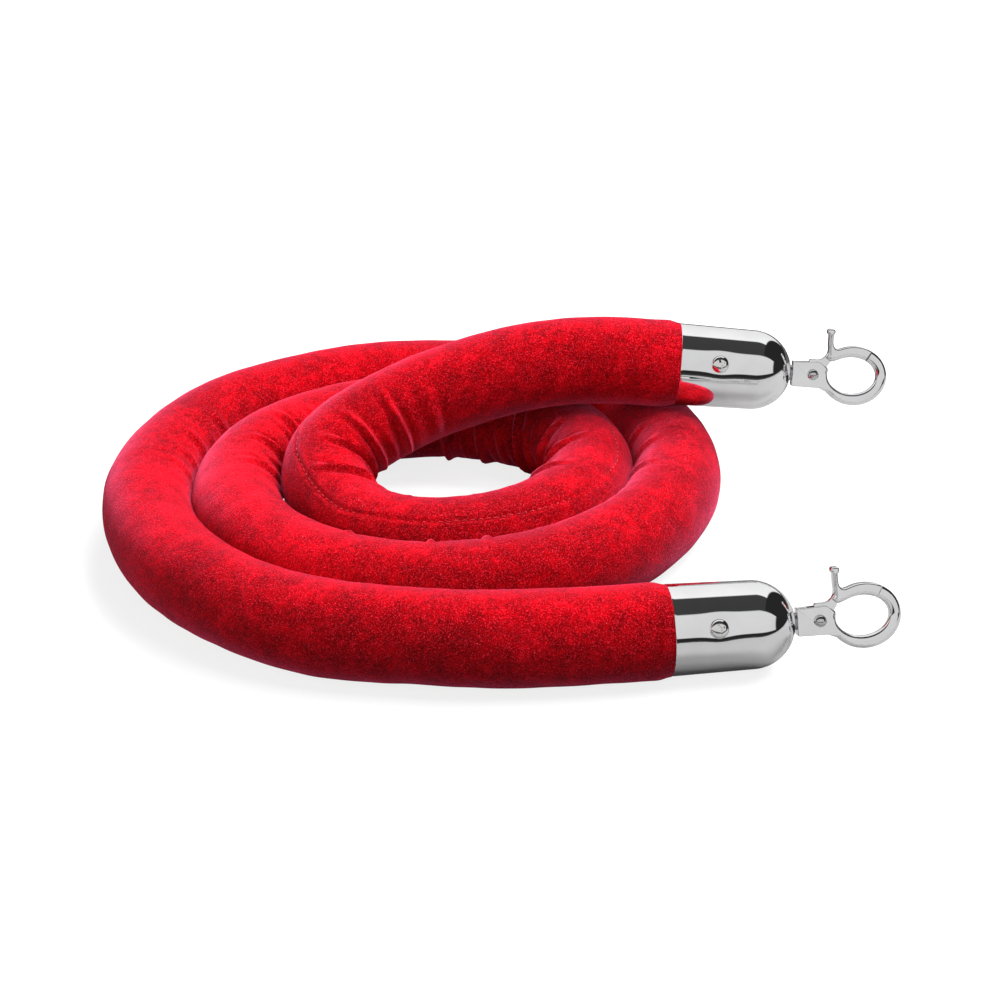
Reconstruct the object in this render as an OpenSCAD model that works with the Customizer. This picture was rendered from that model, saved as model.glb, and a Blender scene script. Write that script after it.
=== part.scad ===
// Velvet barrier rope: a velvet sleeve over a foam core, coiled on a flat surface, with a
// domed metal cap and a swivelling trigger hook at each end. Millimetres, +Z up, and the
// surface that it lies on is Z = 0.

/* [Rope] */
// Diameter of the velvet rope
rope_d = 38; // [37:0.5:38]
// Thickness of the padded velvet sleeve
sleeve_t = 1.8; // [1.2:0.1:2]
// Rings of the swept tube in each turn of the coil
rings_per_turn = 20; // [16:2:24]

/* [Coil] */
// Half width of the outer turn, measured to the middle of the rope
coil_rx = 132; // [131:0.5:134]
// Half depth of the outer turn, measured to the middle of the rope
coil_ry = 127; // [126.5:0.5:129]
// Spacing of neighbouring turns
coil_pitch = 37.6; // [37.6:0.1:38.2]

/* [End caps] */
// Outer diameter of a cap at its mouth
cap_mouth_d = 35.9; // [35:0.1:36]
// Outer diameter of a cap where its dome starts
cap_dome_d = 34.8; // [34:0.1:34.9]
// Length of the straight wall of a cap
cap_wall_l = 33; // [32:0.5:36]
// Thickness of the cap's metal
cap_t = 0.8; // [0.6:0.1:1]
// Number of screws around each cap
cap_screw_count = 2; // [1:1:2]
// Distance of the screws from the cap's mouth
screw_at = 17; // [14:0.5:22]
// Diameter of a screw's pan head
screw_head_d = 7.6; // [6:0.2:8]

/* [Hooks] */
// Thickness of the hook's ring and of the gate
hook_t = 5; // [4.8:0.1:5.4]
// Width of the slot between the hook's two cheeks
slot_w = 2.5; // [2.4:0.1:2.8]
// Gap between the gate's tip and the hook's nose
nose_gap = 0.8; // [0.6:0.1:1.2]
// Lean of both hooks about their swivels, in degrees
hook_lean = 20; // [0:1:30]

/* [Hidden] */
$fn = 48;

// The sleeve is a tube with twelve flat sides, one of which lies on the surface.
sides = 12;
rope_r = rope_d / 2;
lie_z = rope_r * cos(180 / sides);
core_gap = 0.2;

// Places: the middle of the coil, and each rope end's cap mouth, heading and droop.
coil_c = [-137, 36];
mouth_a = [-44.7, -86, lie_z];
heading_a = 7.7;
droop_a = 0;
mouth_b = [-31.9, 84, 54.2];
heading_b = 0.5;
droop_b = 5;

// The coil is not a true oval: its right side lies further back by twice coil_skew than
// its left side does, and its back half is wider than its front half by coil_egg.
coil_skew = 5.2;
coil_egg = 2.4;

// Route of the rope between the coil's start and end A, and between its end and end B.
lead_a = [[-74.5, -90.2], [-94.5, -92], [-115.5, -92.5]];
climb_b = [
    [-172, 2, 19.6], [-179.8, 14.5, 22.5], [-184, 29.5, 27], [-180.5, 42.5, 32],
    [-170, 51.5, 37], [-156.5, 59.5, 42], [-141.5, 66, 46.8], [-124.5, 71, 51],
    [-106.5, 75.8, 54.5], [-87.5, 79.6, 56.5], [-71, 82.1, 57.1], [-57, 83.4, 56.5]
];
coil_turns = 2.05;

// Distance of each end ring outward from a cap's mouth, and the sleeve's radius there.
end_rings = [[7, 16.9], [0, 16.9], [-0.6, 18.6], [-4, rope_r], [-14, rope_r]];

// Plug inside each cap: a nose that the sleeve is drawn over, and a body that takes screws.
plug_nose_r = 14.4;
plug_nose_l = 14;
plug_step = 7.4;
plug_end = 31;
plug_fit = 0.12;

// Swivel: a flat on the dome's apex, a headed stud through it and a washer on each side.
apex_flat_r = 3.6;
dome_r = cap_dome_d / 2;
apex_s = cap_wall_l + sqrt(dome_r * dome_r - apex_flat_r * apex_flat_r);
stud_r = 2;
stud_neck_r = 1.5;
stud_head_r = 4.2;
stud_head_t = 2;
washer_r = 5.4;
washer_t = 1;
run_gap = 0.05;
collar_r = 3.4;

// Hook, drawn flat with x outward along the swivel's axis from hook_s, and y up.
hook_s = apex_s;
plate_x = 1;
plate_h = 11.5;
plate_slope_x = 12.9;
plate_end = [16.9, 3];
hole_c = [27.4, 0.75];
hole_a = 10.8;
hole_b = 8.05;
rim_c = [28.4, 0.7];
rim_a = 14.5;
rim_b = 13;
rivet_at = [10.1, 0.1];
rivet_r = 1.2;
rivet_head_r = 2.3;
hub_r = 4.5;
tongue_t = slot_w - 0.2;
slot_back_r = 7;
nose_angle_in = 57.5;
nose_angle_out = 60.2;
bore_r = rivet_r + run_gap;

// Torsion spring around the gate's rivet.
wire_r = 0.22;
tail_r = 0.17;
spring_r = 1.9;
spring_pocket_r = 2.7;
spring_y = [0.5, 0.82];
tail_angle = 225;
drive_angle = 60;
gate_travel = 35;

function ellipse_arc(c, a, b, from, to, n) =
    [for (i = [0:n]) let (q = from + (to - from) * i / n) c + [a * cos(q), b * sin(q)]];

function unit(v) = v / norm(v);

function axis_of(heading, droop) =
    [cos(droop) * cos(heading), cos(droop) * sin(heading), -sin(droop)];

function coil_point(t) = [
    coil_c.x - (coil_rx - coil_pitch * t) * sin(360 * t) + coil_egg * sin(720 * t),
    coil_c.y - (coil_ry - coil_pitch * t) * cos(360 * t) - coil_skew * sin(360 * t),
    lie_z
];

// Middle line of the rope from cap mouth A to cap mouth B, without the end rings.
middle_route = concat(
    [for (p = lead_a) [p.x, p.y, lie_z]],
    [for (k = [0:floor(coil_turns * rings_per_turn)]) coil_point(k / rings_per_turn)],
    climb_b
);

function end_points(mouth, axis, first) =
    [for (k = [first:len(end_rings) - 1]) mouth + end_rings[k][0] * axis];

function reversed(list) = [for (k = [len(list) - 1:-1:0]) list[k]];

// Direction of the route at ring k, from its neighbours.
function heading_at(path, k) =
    unit(path[min(k + 1, len(path) - 1)] - path[max(k - 1, 0)]);

// One ring of the tube, square to the route, with a flat side facing down.
function ring_at(path, k, r) =
    let (t = heading_at(path, k), s = unit(cross(t, [0, 0, 1])), u = cross(s, t))
    [for (j = [0:sides - 1]) let (q = 360 * (j + 0.5) / sides)
        path[k] + r * (cos(q) * s + sin(q) * u)];

// Triangles of the wall between neighbouring rings; flip turns them inside out.
function wall_faces(first, rings, flip) = [
    for (k = [0:rings - 2], j = [0:sides - 1])
        let (
            a = first + k * sides + j,
            b = first + k * sides + (j + 1) % sides,
            c = b + sides,
            d = a + sides
        )
        each flip ? [[a, c, b], [a, d, c]] : [[a, b, c], [a, c, d]]
];

// Flat ring that joins the outer wall to the inner wall at one end.
function rim_faces(outer, inner, flip) = [
    for (j = [0:sides - 1])
        let (k = (j + 1) % sides)
        each flip
            ? [[outer + j, inner + k, outer + k], [outer + j, inner + j, inner + k]]
            : [[outer + j, outer + k, inner + k], [outer + j, inner + k, inner + j]]
];

module swept_rod(path, radii) {
    n = len(path);
    points = [for (k = [0:n - 1]) each ring_at(path, k, radii[k])];
    caps = [
        [for (j = [sides - 1:-1:0]) j],
        [for (j = [0:sides - 1]) (n - 1) * sides + j]
    ];
    polyhedron(points, concat(wall_faces(0, n, false), caps));
}

module swept_tube(path, radii, wall) {
    n = len(path);
    outer = [for (k = [0:n - 1]) each ring_at(path, k, radii[k])];
    inner = [for (k = [0:n - 1]) each ring_at(path, k, radii[k] - wall)];
    faces = concat(
        wall_faces(0, n, false),
        wall_faces(n * sides, n, true),
        rim_faces(0, n * sides, true),
        rim_faces((n - 1) * sides, (2 * n - 1) * sides, false)
    );
    polyhedron(concat(outer, inner), faces);
}

axis_a = axis_of(heading_a, droop_a);
axis_b = axis_of(heading_b, droop_b);
last_ring = len(end_rings) - 1;

// Places its children at a rope end, with x pointing out of the cap's mouth.
module at_a() {
    translate(mouth_a)
        rotate([0, droop_a, heading_a])
            children();
}

module at_b() {
    translate(mouth_b)
        rotate([0, droop_b, heading_b])
            children();
}

// Turns a profile of radius and distance about the x axis.
module lathe() {
    rotate([0, 90, 0])
        rotate_extrude()
            children();
}

// Raises a hook outline to a plate of the given thickness, from y0 to y0 + t.
module hook_plate(y0, t) {
    rotate([-hook_lean, 0, 0])
        translate([hook_s, y0 + t, 0])
            rotate([90, 0, 0])
                linear_extrude(t)
                    children();
}

// Places its children at the gate's rivet, with z pointing out of the hook's back.
module at_rivet() {
    rotate([-hook_lean, 0, 0])
        translate([hook_s + rivet_at.x, 0, rivet_at.y])
            rotate([-90, 0, 0])
                children();
}

module velvet_sleeve() {
    path = concat(
        end_points(mouth_a, axis_a, 0),
        middle_route,
        reversed(end_points(mouth_b, axis_b, 0))
    );
    end_radii = [for (ring = end_rings) ring[1]];
    radii = concat(end_radii, [for (p = middle_route) rope_r], reversed(end_radii));
    color("crimson")
        swept_tube(path, radii, sleeve_t);
}

module foam_core() {
    path = concat(
        [mouth_a + (end_rings[last_ring][0] - 0.5) * axis_a],
        middle_route,
        [mouth_b + (end_rings[last_ring][0] - 0.5) * axis_b]
    );
    color("ivory")
        swept_rod(path, [for (p = path) rope_r - sleeve_t - core_gap]);
}

// Outline of the cap's outside, or of its inside when drawn smaller by inset.
module cap_profile(inset) {
    r0 = cap_mouth_d / 2 - inset;
    r1 = dome_r - inset;
    polygon([[0, 0], [r0, 0], [r1, cap_wall_l], [0, cap_wall_l]]);
    intersection() {
        translate([0, cap_wall_l])
            circle(r1);
        translate([0, cap_wall_l])
            square([cap_mouth_d, apex_s - cap_wall_l]);
    }
}

// Places its children at each screw, with z pointing out of the cap.
module at_screws() {
    for (k = [0:cap_screw_count - 1])
        rotate([62 + 360 * k / cap_screw_count, 0, 0])
            translate([screw_at, 0, 0])
                children();
}

module end_cap() {
    color("silver")
        difference() {
            lathe()
                difference() {
                    cap_profile(0);
                    cap_profile(cap_t);
                    square([stud_r + run_gap, 2 * cap_wall_l]);
                }
            at_screws()
                cylinder(h = 2 * dome_r, r = 1.7);
        }
}

module cap_plug() {
    r0 = cap_mouth_d / 2 - cap_t - plug_fit;
    r1 = dome_r - cap_t - plug_fit;
    slope = (r1 - r0) / cap_wall_l;
    color("burlywood")
        difference() {
            lathe()
                polygon([
                    [0, -plug_nose_l], [plug_nose_r, -plug_nose_l], [plug_nose_r, plug_step],
                    [r0 + slope * plug_step, plug_step], [r0 + slope * plug_end, plug_end],
                    [0, plug_end]
                ]);
            at_screws()
                translate([0, 0, 6])
                    cylinder(h = dome_r, r = 1.4);
        }
}

module cap_screws() {
    seat = cap_mouth_d / 2 + 0.05;
    head_h = 2.1;
    color("lightgray")
        at_screws()
            difference() {
                union() {
                    translate([0, 0, 7])
                        cylinder(h = seat - 6.5, r = 1.3);
                    translate([0, 0, seat])
                        rotate_extrude()
                            intersection() {
                                square([screw_head_d / 2, head_h]);
                                translate([0, head_h - 4.8])
                                    circle(4.8);
                            }
                }
                for (turn = [0, 90])
                    rotate([0, 0, turn])
                        translate([-1.9, -0.4, seat + 0.9])
                            cube([3.8, 0.8, head_h]);
            }
}

module stud_washer() {
    s0 = cap_wall_l + sqrt(pow(dome_r - cap_t, 2) - washer_r * washer_r) - washer_t - run_gap;
    color("gainsboro")
        lathe()
            translate([stud_r + run_gap, s0])
                square([washer_r - stud_r - run_gap, washer_t]);
}

module swivel_collar() {
    color("gray")
        lathe()
            translate([stud_r + run_gap, apex_s + run_gap])
                square([collar_r - stud_r - run_gap, plate_x - 2 * run_gap]);
}

module swivel_stud() {
    s0 = cap_wall_l + sqrt(pow(dome_r - cap_t, 2) - washer_r * washer_r) - washer_t
        - 2 * run_gap - stud_head_t;
    shoulder = hook_s + plate_x - run_gap;
    tail = hook_s + rivet_at.x - slot_back_r;
    color("darkgray")
        lathe()
            polygon([
                [0, s0], [stud_head_r, s0], [stud_head_r, s0 + stud_head_t],
                [stud_r, s0 + stud_head_t], [stud_r, shoulder], [stud_neck_r, shoulder],
                [stud_neck_r, tail], [0, tail]
            ]);
}

// Flat outline of the hook: the plate between the swivel and the ring, and the ring itself.
module hook_outline() {
    polygon(concat(
        [[plate_x, plate_h / 2], [plate_slope_x, plate_h / 2], plate_end],
        ellipse_arc(hole_c, hole_a, hole_b, 170, 360 + nose_angle_in, 40),
        ellipse_arc(rim_c, rim_a, rim_b, nose_angle_out, -142, 34),
        [[13.7, -plate_h / 2], [plate_x, -plate_h / 2]]
    ));
}

// Room that the gate's tongue needs between the cheeks, all through its travel.
module slot_outline() {
    translate(rivet_at)
        circle(hub_r + 0.3);
    intersection() {
        translate(rivet_at)
            circle(slot_back_r);
        translate(rivet_at - [slot_back_r, 0])
            square(2 * slot_back_r);
    }
    translate(rivet_at)
        polygon([[0, 0], [hub_r + 0.3, 0], [7.9, 1.5], [7.9, 9], [0, 9]]);
}

module hook_body() {
    color("silver")
        difference() {
            hook_plate(-hook_t / 2, hook_t)
                hook_outline();
            hook_plate(-slot_w / 2, slot_w)
                slot_outline();
            at_rivet()
                cylinder(h = 2 * hook_t, r = bore_r, center = true);
            at_rivet()
                rotate([0, 0, -tail_angle])
                    translate([spring_r, 0, 0])
                        cylinder(h = hook_t, r = wire_r + 0.1);
            translate([hook_s, 0, 0])
                rotate([0, 90, 0])
                    cylinder(h = rivet_at.x, r = stud_neck_r);
        }
}

module gate_rivet() {
    color("lightgray")
        at_rivet() {
            cylinder(h = hook_t + 2 * rivet_r, r = rivet_r, center = true);
            for (side = [0, 180])
                rotate([side, 0, 0])
                    intersection() {
                        translate([0, 0, hook_t / 2 + 0.5])
                            sphere(rivet_head_r);
                        translate([0, 0, hook_t / 2 + 0.02 + rivet_head_r])
                            cube(2 * rivet_head_r, center = true);
                    }
        }
}

// Flat outline of the gate's thick part: the arc that closes the ring, and the thumb lever.
module gate_outline() {
    turn = nose_gap * 5.2;
    polygon(concat(
        ellipse_arc(hole_c, hole_a, hole_b, nose_angle_in + turn, 125, 12),
        [[17.4, 5.9], [14.9, 8], [16, 9.8], [16.3, 11.5], [16, 13.5], [15.9, 18]],
        [[15.1, 18.6], [15, 19.8], [15.7, 20.6], [17.9, 20.6], [18.6, 19.8], [18.5, 18.6]],
        [[17.9, 18], [18, 14.5], [18.4, 13], [19.2, 12.1], [20.3, 11.9]],
        ellipse_arc(rim_c, rim_a, rim_b, 117, nose_angle_out + turn * 0.62, 12)
    ));
}

// Flat outline of the thin tongue that joins the gate to its hub between the cheeks.
module tongue_outline() {
    translate(rivet_at)
        circle(hub_r);
    polygon([
        [8.2, 0.1], [8.2, 6.3], [8.9, 6.7], [12.6, 6.7], [14, 7.2], [15.4, 8.6],
        [18, 8], [17.2, 5.4], [14.2, 1]
    ]);
}

module gate_lever() {
    drive_from = drive_angle - gate_travel - 5;
    color("silver")
        difference() {
            union() {
                hook_plate(-hook_t / 2, hook_t)
                    gate_outline();
                hook_plate(-tongue_t / 2, tongue_t)
                    tongue_outline();
            }
            at_rivet() {
                cylinder(h = 2 * hook_t, r = bore_r, center = true);
                translate([0, 0, spring_y[0] - wire_r - 0.1])
                    cylinder(h = hook_t, r = spring_pocket_r);
                translate([0, 0, -0.6])
                    linear_extrude(1.5)
                        polygon(concat(
                            ellipse_arc([0, 0], 2.3, 2.3, -drive_from, -drive_angle - 8, 8),
                            ellipse_arc([0, 0], 1.5, 1.5, -drive_angle - 8, -drive_from, 8)
                        ));
            }
        }
}

module gate_spring() {
    color("dimgray")
        at_rivet() {
            for (y = spring_y)
                translate([0, 0, y])
                    rotate_extrude()
                        translate([spring_r, 0])
                            circle(wire_r);
            rotate([0, 0, -tail_angle])
                translate([spring_r, 0, spring_y[1]])
                    cylinder(h = 1.18, r = tail_r);
            rotate([0, 0, -drive_angle])
                translate([spring_r, 0, spring_y[0] - 0.9])
                    cylinder(h = 0.9, r = tail_r);
        }
}

velvet_sleeve();
foam_core();
at_a() end_cap();  // end_cap_a
at_a() cap_plug();  // cap_plug_a
at_a() cap_screws();  // cap_screws_a
at_a() stud_washer();  // stud_washer_a
at_a() swivel_collar();  // swivel_collar_a
at_a() swivel_stud();  // swivel_stud_a
at_a() hook_body();  // hook_body_a
at_a() gate_rivet();  // gate_rivet_a
at_a() gate_lever();  // gate_lever_a
at_a() gate_spring();  // gate_spring_a
at_b() end_cap();  // end_cap_b
at_b() cap_plug();  // cap_plug_b
at_b() cap_screws();  // cap_screws_b
at_b() stud_washer();  // stud_washer_b
at_b() swivel_collar();  // swivel_collar_b
at_b() swivel_stud();  // swivel_stud_b
at_b() hook_body();  // hook_body_b
at_b() gate_rivet();  // gate_rivet_b
at_b() gate_lever();  // gate_lever_b
at_b() gate_spring();  // gate_spring_b
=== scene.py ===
# Looks of the velvet barrier rope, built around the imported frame. Metres, +Z up, and the
# surface that the rope lies on is Z = 0. Hook and cap shapes are drawn in millimetres.
import math

import bmesh
import bpy
import numpy as np
from mathutils import Matrix, Vector


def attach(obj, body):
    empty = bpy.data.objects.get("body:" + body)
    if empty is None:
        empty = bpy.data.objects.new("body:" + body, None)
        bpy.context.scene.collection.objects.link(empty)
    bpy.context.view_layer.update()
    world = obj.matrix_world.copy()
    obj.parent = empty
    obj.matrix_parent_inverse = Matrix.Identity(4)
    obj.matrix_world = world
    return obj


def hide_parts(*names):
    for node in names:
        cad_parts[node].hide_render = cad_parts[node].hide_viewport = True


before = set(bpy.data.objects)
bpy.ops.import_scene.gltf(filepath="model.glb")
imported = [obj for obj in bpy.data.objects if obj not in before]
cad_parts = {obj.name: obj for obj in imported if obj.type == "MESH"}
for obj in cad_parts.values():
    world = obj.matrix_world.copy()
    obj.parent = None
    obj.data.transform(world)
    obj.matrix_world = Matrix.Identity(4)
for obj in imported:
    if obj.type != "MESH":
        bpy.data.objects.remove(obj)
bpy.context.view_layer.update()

MM = 0.001
ENDS = ("a", "b")

# ---------------------------------------------------------------- camera

# The photograph's viewpoint, rounded from a fit to the object's outlines in it.
CAMERA_ELEVATION = math.radians(27.5)
CAMERA_AT = (-0.1095, -0.9484, 0.5242)
CAMERA_LENS = 92.77


def make_camera():
    data = bpy.data.cameras.new("camera")
    data.lens = CAMERA_LENS
    data.sensor_width = 36
    camera = bpy.data.objects.new("camera", data)
    camera.location = CAMERA_AT
    camera.rotation_euler = (math.pi / 2 - CAMERA_ELEVATION, 0, 0)
    bpy.context.scene.collection.objects.link(camera)
    bpy.context.scene.camera = camera


make_camera()

# ---------------------------------------------------------------- the rope's route

# Sizes, places and free points of the route are those of part.scad.
ROPE_R = 19 * MM
LIE_Z = ROPE_R * math.cos(math.radians(15))
COIL_C = (-137 * MM, 36 * MM)
COIL_RX = 132 * MM
COIL_RY = 127 * MM
COIL_PITCH = 37.6 * MM
COIL_SKEW = 5.2 * MM
COIL_EGG = 2.4 * MM
COIL_STEPS = 41
STEPS_PER_TURN = 20

# Each rope end: its cap's mouth, and its axis out of the rope by heading and droop.
MOUTH = {
    "a": Vector((-44.7 * MM, -86 * MM, LIE_Z)),
    "b": Vector((-31.9 * MM, 84 * MM, 54.2 * MM)),
}
HEADING = {"a": 7.7, "b": 0.5}
DROOP = {"a": 0, "b": 5}

# The free points, placed between the points of a fit to the photograph's outlines.
LEAD_A = [(-74.5, -90.2), (-94.5, -92), (-115.5, -92.5)]
CLIMB_B = [
    (-172, 2, 19.6), (-179.8, 14.5, 22.5), (-184, 29.5, 27), (-180.5, 42.5, 32),
    (-170, 51.5, 37), (-156.5, 59.5, 42), (-141.5, 66, 46.8), (-124.5, 71, 51),
    (-106.5, 75.8, 54.5), (-87.5, 79.6, 56.5), (-71, 82.1, 57.1), (-57, 83.4, 56.5),
]

# How far the sleeve goes into a cap, and how far its end runs straight outside it.
TUCK = 7 * MM
STRAIGHT = 14 * MM
LINE_STEP = 1 * MM
LINE_EASE = 6 * MM


def end_matrix(end):
    """The frame of a rope end: x out of the cap's mouth."""
    turn = Matrix.Rotation(math.radians(HEADING[end]), 4, "Z")
    dip = Matrix.Rotation(math.radians(DROOP[end]), 4, "Y")
    return Matrix.Translation(MOUTH[end]) @ turn @ dip


def end_axis(end):
    return (end_matrix(end).to_3x3() @ Vector((1, 0, 0))).normalized()


def coil_point(t):
    turn = 2 * math.pi * t
    return (
        COIL_C[0] - (COIL_RX - COIL_PITCH * t) * math.sin(turn) + COIL_EGG * math.sin(2 * turn),
        COIL_C[1] - (COIL_RY - COIL_PITCH * t) * math.cos(turn) - COIL_SKEW * math.sin(turn),
        LIE_Z,
    )


def route_points():
    points = [tuple(MOUTH["a"] + s * end_axis("a")) for s in (TUCK, 0, -STRAIGHT)]
    points += [(x * MM, y * MM, LIE_Z) for x, y in LEAD_A]
    points += [coil_point(k / STEPS_PER_TURN) for k in range(COIL_STEPS + 1)]
    points += [(x * MM, y * MM, z * MM) for x, y, z in CLIMB_B]
    points += [tuple(MOUTH["b"] + s * end_axis("b")) for s in (-STRAIGHT, 0, TUCK)]
    return np.array(points)


def lengths_along(line):
    return np.r_[0, np.cumsum(np.linalg.norm(np.diff(line, axis=0), axis=1))]


def spaced_evenly(line, step):
    along = lengths_along(line)
    at = np.linspace(0, along[-1], int(round(along[-1] / step)) + 1)
    return np.stack([np.interp(at, along, line[:, k]) for k in range(3)], 1)


def smooth_line(points):
    """A smooth curve through the points: cubic pieces, then eased over LINE_EASE."""
    gaps = np.linalg.norm(np.diff(points, axis=0), axis=1)
    chords = np.diff(points, axis=0) / gaps[:, None]
    slopes = np.vstack([chords[:1], np.zeros((len(points) - 2, 3)), chords[-1:]])
    before, after = gaps[:-1, None], gaps[1:, None]
    slopes[1:-1] = (chords[:-1] * after + chords[1:] * before) / (before + after)
    pieces = []
    for i, gap in enumerate(gaps):
        t = np.linspace(0, 1, max(3, int(gap / (0.5 * LINE_STEP))), endpoint=False)[:, None]
        start = (2 * t**3 - 3 * t**2 + 1) * points[i] + (t**3 - 2 * t**2 + t) * gap * slopes[i]
        stop = (3 * t**2 - 2 * t**3) * points[i + 1] + (t**3 - t**2) * gap * slopes[i + 1]
        pieces.append(start + stop)
    line = spaced_evenly(np.vstack(pieces + [points[-1:]]), LINE_STEP)
    reach = int(4 * LINE_EASE / LINE_STEP)
    steps = np.arange(-reach, reach + 1)
    weights = np.exp(-0.5 * (steps * LINE_STEP / LINE_EASE) ** 2)
    weights /= weights.sum()
    ahead = np.arange(1, reach + 1)[:, None] * LINE_STEP
    first = line[0] - ahead[::-1] * chords[0]
    last = line[-1] + ahead * chords[-1]
    longer = np.vstack([first, line, last])
    eased = np.stack([np.convolve(longer[:, k], weights, "valid") for k in range(3)], 1)
    return spaced_evenly(eased, LINE_STEP)


class Route:
    """The rope's middle line, with its sideways and upward directions at any station."""

    def __init__(self):
        self.line = smooth_line(route_points())
        self.station = lengths_along(self.line) - TUCK
        self.along = np.gradient(self.line, axis=0)
        self.along /= np.linalg.norm(self.along, axis=1)[:, None]
        self.side = np.cross(self.along, (0, 0, 1))
        self.side /= np.linalg.norm(self.side, axis=1)[:, None]
        self.up = np.cross(self.side, self.along)
        self.length = self.station[-1] - TUCK

    def at(self, station, values):
        return np.stack([np.interp(station, self.station, values[:, k]) for k in range(3)], -1)


route = Route()

# ---------------------------------------------------------------- the velvet sleeve

AROUND = 132
RING_STEP = 1.9 * MM
FINE_STEP = 0.85 * MM
# Stretches with folds or gathers, in millimetres, which get closer rings.
FINE_STATIONS = [(754, 834), (900, 985), (1040, 1190), (1255, 1395)]

# Folds where the sleeve is crowded on the inside of a bend, in millimetres and degrees:
# station, from angle, to angle, drift along the rope from first to last, height, half width.
# Angles go round from the side towards the coil's middle, 0, over the top, 90.
# Over half of the stations were found by a scratch program from places picked in the
# photograph, then rounded, and those folds' angles and drift follow it loosely. The rest was
# chosen.
FOLDS = [
    (1377, -45, 78, 0, 1.3, 2.2), (1360, -60, 82, -2, 2.9, 1.5), (1352, -45, 40, -3, 1.2, 1.2),
    (1343, -60, 92, -6, 2.8, 1.6), (1333, -50, 45, -4, 1.2, 1.3), (1321, -40, 108, 6, 2.7, 1.6),
    (1309, -40, 35, 8, 1.2, 1.5), (1299, 35, 125, 20, 2.4, 1.5), (1281, -30, 62, 14, 1.1, 1.8),
    (1050, -80, 60, -6, 2.5, 1.5), (1060, -60, 50, -6, 1.1, 1.4), (1070, -75, 70, -6, 2.7, 1.6),
    (1083, -60, 45, -8, 1.1, 1.5), (1096, -75, 75, -12, 2.6, 1.6), (1106, -60, 62, -18, 2.2, 1.4),
    (1124, -60, 75, -4, 2.6, 1.7), (1149, -30, 92, -12, 2.3, 1.7), (1136, -40, 50, -6, 1.2, 1.5),
    (1178, 10, 95, -12, 1.6, 1.7), (1163, -20, 60, -8, 1.1, 1.6), (963, 20, 96, 1, 1.9, 1.4),
    (956, 10, 80, 2, 1.0, 1.2), (940, 5, 92, -3, 1.9, 1.5), (930, 0, 66, -4, 1.0, 1.3),
    (918, 5, 90, -6, 1.6, 1.6), (978, 10, 80, 2, 1.1, 1.5), (908, 0, 70, -4, 0.9, 1.6),
    (339, 5, 68, 0, 1.3, 1.7), (314.5, 0, 70, 1, 1.3, 1.7), (299, -5, 70, -2, 1.2, 1.7),
    (286, 0, 72, -1, 1.1, 1.8), (272, 0, 64, 2, 0.8, 2.0), (326, 0, 50, 0, 0.8, 1.5),
    (626, 0, 74, -2, 1.3, 1.7), (650, 5, 86, 8, 1.3, 1.8), (606, 0, 62, -2, 0.9, 1.7),
    (640, 0, 50, 4, 0.8, 1.5), (788, 46, 84, 0, 1.0, 1.2), (763, 44, 82, 0, 1.0, 1.2),
    (826, 48, 86, 0, 0.8, 1.3),
]

# How much wider than its half width each fold is drawn.
FOLD_SPREAD = 1.2

# The sewn seam's angle round the rope, at a few stations in millimetres. Those from 1140
# to 1311 follow the same scratch program, and the others were chosen by eye.
SEAM_TURNS = [
    (-10, 292), (840, 286), (1050, 170), (1120, 130), (1140, 124), (1157, 134), (1199, 130),
    (1232, 123), (1264, 124), (1280, 131), (1311, 128), (1400, 146), (1510, 160),
]
SEAM_DEEP = 0.55 * MM
SEAM_HALF = 0.9 * MM

LUMP_WAVES = 14
WRINKLE_SEED = 11


def bump(x):
    return np.exp(-x * x)


def ease(x):
    x = np.clip(x, 0, 1)
    return x * x * (3 - 2 * x)


def lumps(station, angle, seed, size):
    """Soft random swells over the sleeve: a few waves of about the given size."""
    draw = np.random.RandomState(seed)
    total = np.zeros(np.broadcast(station, angle).shape)
    for _ in range(LUMP_WAVES):
        turns = draw.randint(0, 4)
        wave = size * draw.uniform(0.7, 1.6)
        total += np.sin(2 * math.pi * station / wave + turns * angle + draw.uniform(0, 6.283))
    return total / math.sqrt(LUMP_WAVES)


def fold_height(station, degrees):
    """Outward height of all the folds, for stations in metres and angles in degrees."""
    total = np.zeros(np.broadcast(station, degrees).shape)
    turned = (degrees + 180) % 360 - 180
    for at, low, high, drift, height, half in FOLDS:
        middle, span = (low + high) / 2, high - low
        line = (at + drift * (turned - middle) / span) * MM
        across = (station - line) / (FOLD_SPREAD * half * MM)
        ends = ease((turned - low) / (0.3 * span)) * ease((high - turned) / (0.5 * span))
        wrap = np.abs(turned - middle) < 0.5 * span
        crest = bump(across) - 0.42 * bump((np.abs(across) - 1.9) / 0.8)
        total += np.where(wrap, ends * height * MM * crest, 0)
    return total


def crowding(station):
    """How tightly the rope bends at each station, from 0 when straight to 1."""
    turn = np.linalg.norm(np.gradient(route.along, axis=0), axis=1) / LINE_STEP
    return np.interp(station, route.station, np.clip(turn * 0.055, 0, 1))


def small_folds(station, degrees):
    """Shallow random wrinkles on the inside of every bend."""
    draw = np.random.RandomState(WRINKLE_SEED)
    total = np.zeros(np.broadcast(station, degrees).shape)
    turned = (degrees + 180) % 360 - 180
    at = 60.0
    while at < route.length / MM - 70:
        middle = draw.uniform(-28, 34)
        span = draw.uniform(26, 52)
        slant = draw.uniform(-0.09, 0.09)
        height = draw.uniform(0.15, 0.75)
        half = draw.uniform(1.3, 2.4)
        line = (at + slant * (turned - middle)) * MM
        total += height * bump((station - line) / (half * MM)) * bump((turned - middle) / span)
        at += draw.uniform(5, 13)
    return total * MM * crowding(station) ** 1.5


def seam_angle(station):
    stations, angles = zip(*SEAM_TURNS)
    return np.interp(station / MM, stations, angles)


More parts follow.
